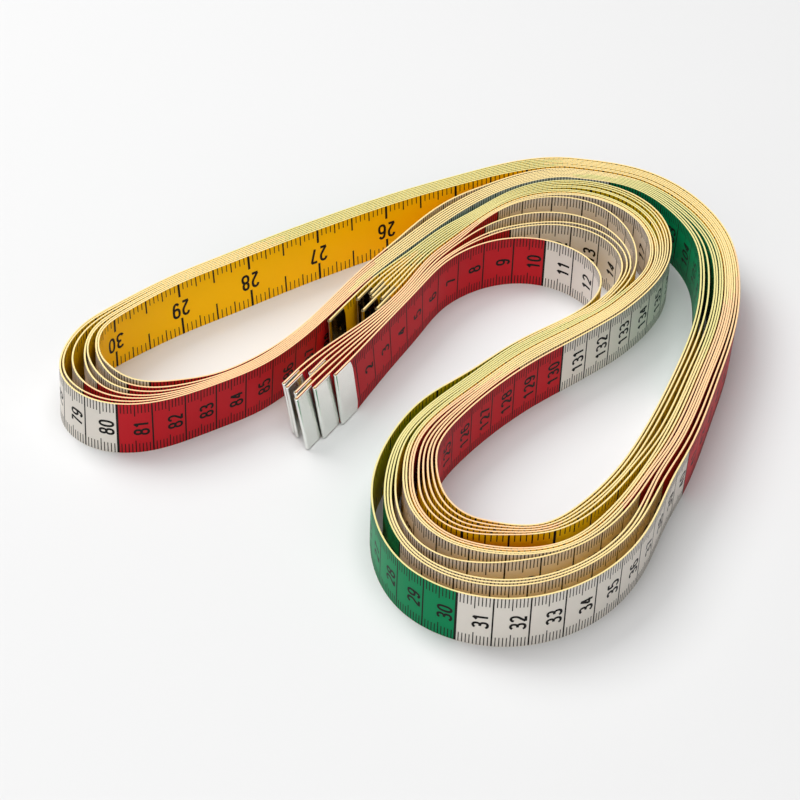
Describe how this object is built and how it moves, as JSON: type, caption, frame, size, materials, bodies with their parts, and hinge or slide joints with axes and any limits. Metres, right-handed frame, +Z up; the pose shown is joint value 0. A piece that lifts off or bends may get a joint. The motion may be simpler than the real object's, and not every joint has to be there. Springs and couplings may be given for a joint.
{
  "type": "cloth tape measure bundle",
  "caption": "Cloth tape measures stacked face to face, folded in the middle and laid on edge in an S, with metal clips on their ends.",
  "frame": {"origin": "on the surface the bundle stands on, under the middle of its outline", "axes": "+Z up across the ribbons' width, +X to the bundle's right and +Y to its far side, away from the camera"},
  "size_m": [0.2038, 0.2054, 0.018],
  "materials": {
    "printed_cloth": "coated, semi-gloss",
    "clip_metal": "bright"
  },
  "bodies": {
    "bundle": {"ribbon_1": "printed_cloth", "ribbon_2": "printed_cloth", "ribbon_3": "printed_cloth", "ribbon_4": "printed_cloth", "ribbon_5": "printed_cloth", "ribbon_6": "printed_cloth", "ribbon_7": "printed_cloth", "far_clip_1": "clip_metal", "far_clip_2": "clip_metal", "far_clip_3": "clip_metal", "far_clip_4": "clip_metal", "far_clip_5": "clip_metal", "far_clip_6": "clip_metal", "far_clip_7": "clip_metal"},
    "loose_end_1": {"free_end_1": "printed_cloth", "zero_clip_1": "clip_metal"},
    "loose_end_2": {"free_end_2": "printed_cloth", "zero_clip_2": "clip_metal"},
    "loose_end_3": {"free_end_3": "printed_cloth", "zero_clip_3": "clip_metal"},
    "loose_end_4": {"free_end_4": "printed_cloth", "zero_clip_4": "clip_metal"},
    "loose_end_5": {"free_end_5": "printed_cloth", "zero_clip_5": "clip_metal"},
    "loose_end_6": {"free_end_6": "printed_cloth", "zero_clip_6": "clip_metal"},
    "loose_end_7": {"free_end_7": "printed_cloth", "zero_clip_7": "clip_metal"}
  },
  "joints": [
    {"name": "fan_1", "type": "hinge", "parent": "bundle", "child": "loose_end_1", "pos_m": [0.00677, 0.03661, 0.009], "axis": [0, 0, 1], "range_deg": [0, 20], "stiffness_Nm_per_rad": 0.005},
    {"name": "fan_2", "type": "hinge", "parent": "bundle", "child": "loose_end_2", "pos_m": [0.00611, 0.03699, 0.009], "axis": [0, 0, 1], "range_deg": [0, 17.15], "stiffness_Nm_per_rad": 0.005},
    {"name": "fan_3", "type": "hinge", "parent": "bundle", "child": "loose_end_3", "pos_m": [0.00546, 0.03735, 0.009], "axis": [0, 0, 1], "range_deg": [0, 14.29], "stiffness_Nm_per_rad": 0.005},
    {"name": "fan_4", "type": "hinge", "parent": "bundle", "child": "loose_end_4", "pos_m": [0.00478, 0.03773, 0.009], "axis": [0, 0, 1], "range_deg": [0, 11.43], "stiffness_Nm_per_rad": 0.005},
    {"name": "fan_5", "type": "hinge", "parent": "bundle", "child": "loose_end_5", "pos_m": [0.00399, 0.03818, 0.009], "axis": [0, 0, 1], "range_deg": [0, 8.58], "stiffness_Nm_per_rad": 0.005},
    {"name": "fan_6", "type": "hinge", "parent": "bundle", "child": "loose_end_6", "pos_m": [0.00333, 0.03855, 0.009], "axis": [0, 0, 1], "range_deg": [0, 5.72], "stiffness_Nm_per_rad": 0.005},
    {"name": "fan_7", "type": "hinge", "parent": "bundle", "child": "loose_end_7", "pos_m": [0.00273, 0.03889, 0.009], "axis": [0, 0, 1], "range_deg": [0, 2.86], "stiffness_Nm_per_rad": 0.005}
  ],
  "couplings": [
    {"joint": "fan_2", "follows": "fan_1", "ratio": 0.85714},
    {"joint": "fan_3", "follows": "fan_1", "ratio": 0.71429},
    {"joint": "fan_4", "follows": "fan_1", "ratio": 0.57143},
    {"joint": "fan_5", "follows": "fan_1", "ratio": 0.42857},
    {"joint": "fan_6", "follows": "fan_1", "ratio": 0.28571},
    {"joint": "fan_7", "follows": "fan_1", "ratio": 0.14286}
  ]
}
